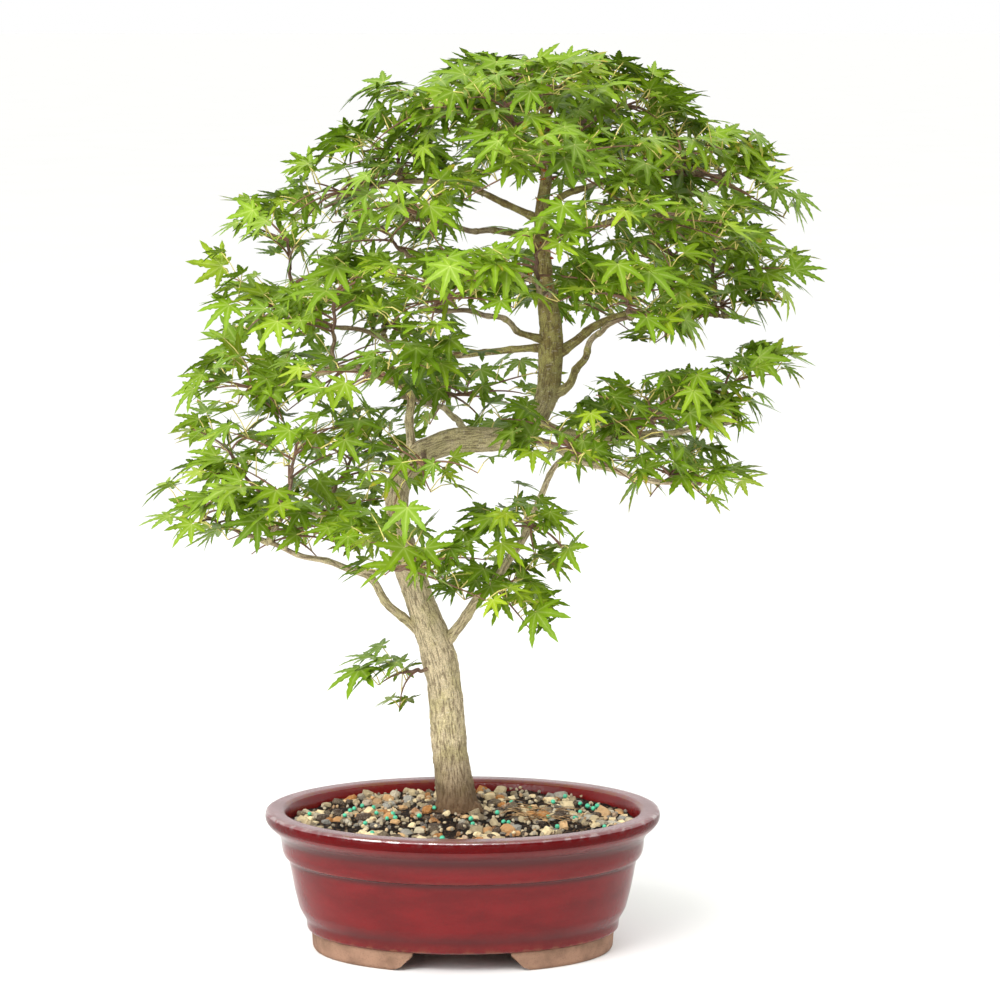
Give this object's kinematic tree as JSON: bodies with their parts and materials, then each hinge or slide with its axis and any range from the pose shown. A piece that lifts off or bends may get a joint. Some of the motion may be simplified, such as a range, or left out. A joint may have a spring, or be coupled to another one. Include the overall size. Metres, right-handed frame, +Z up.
{
  "type": "potted bonsai tree",
  "caption": "Bonsai maple with a curved bare trunk and layered green foliage in an oval red-glazed ceramic pot on clay feet, topped with gravel",
  "frame": {"origin": "middle of the pot's footprint, on the surface the pot stands on, below the middle of the whole plant", "axes": "+Z up, +X to the right along the pot's length, -Y is the front of the pot"},
  "size_m": [0.424, 0.342, 0.5716],
  "materials": {
    "pot_glaze": "gloss",
    "screen_plastic": "matte",
    "soil": "matte",
    "gravel": "matte",
    "bark": "matte",
    "leaf": "satin"
  },
  "bodies": {
    "root": {"pot": "pot_glaze", "drain_screen_left": "screen_plastic", "drain_screen_right": "screen_plastic", "soil": "soil", "gravel_layer": "gravel", "trunk_and_branches": "bark", "leaves_crown_top": "leaf", "leaves_crown_front": "leaf", "leaves_crown_back": "leaf", "leaves_crown_left": "leaf", "leaves_crown_right": "leaf", "leaves_upper_left": "leaf", "leaves_upper_front": "leaf", "leaves_upper_right": "leaf", "leaves_upper_right_tip": "leaf", "leaves_upper_back": "leaf", "leaves_upper_right_back": "leaf", "leaves_shoulder_left": "leaf", "leaves_shoulder_left_tip": "leaf", "leaves_shoulder_left_front": "leaf", "leaves_shoulder_left_back": "leaf", "leaves_shoulder_front": "leaf", "leaves_shoulder_right_front": "leaf", "leaves_shoulder_right": "leaf", "leaves_shoulder_right_back": "leaf", "leaves_mid_left_tip": "leaf", "leaves_mid_left": "leaf", "leaves_mid_left_back": "leaf", "leaves_mid_front": "leaf", "leaves_mid_right_front": "leaf", "leaves_mid_right": "leaf", "leaves_mid_back": "leaf", "leaves_low_left_tip": "leaf", "leaves_low_left": "leaf", "leaves_low_left_front": "leaf", "leaves_low_right_tip": "leaf", "leaves_low_right": "leaf", "leaves_low_right_back": "leaf", "leaves_low_back": "leaf", "leaves_base_left_tip": "leaf", "leaves_base_left": "leaf", "leaves_base_left_back": "leaf", "leaves_base_front": "leaf", "leaves_base_right_front": "leaf", "leaves_base_right": "leaf", "leaves_bottom_left_tip": "leaf", "leaves_bottom_left": "leaf", "leaves_bottom_left_back": "leaf", "leaves_bottom_front": "leaf", "leaves_bottom_right": "leaf", "leaves_bottom_right_low": "leaf", "leaves_sprig_low": "leaf"}
  },
  "joints": []
}
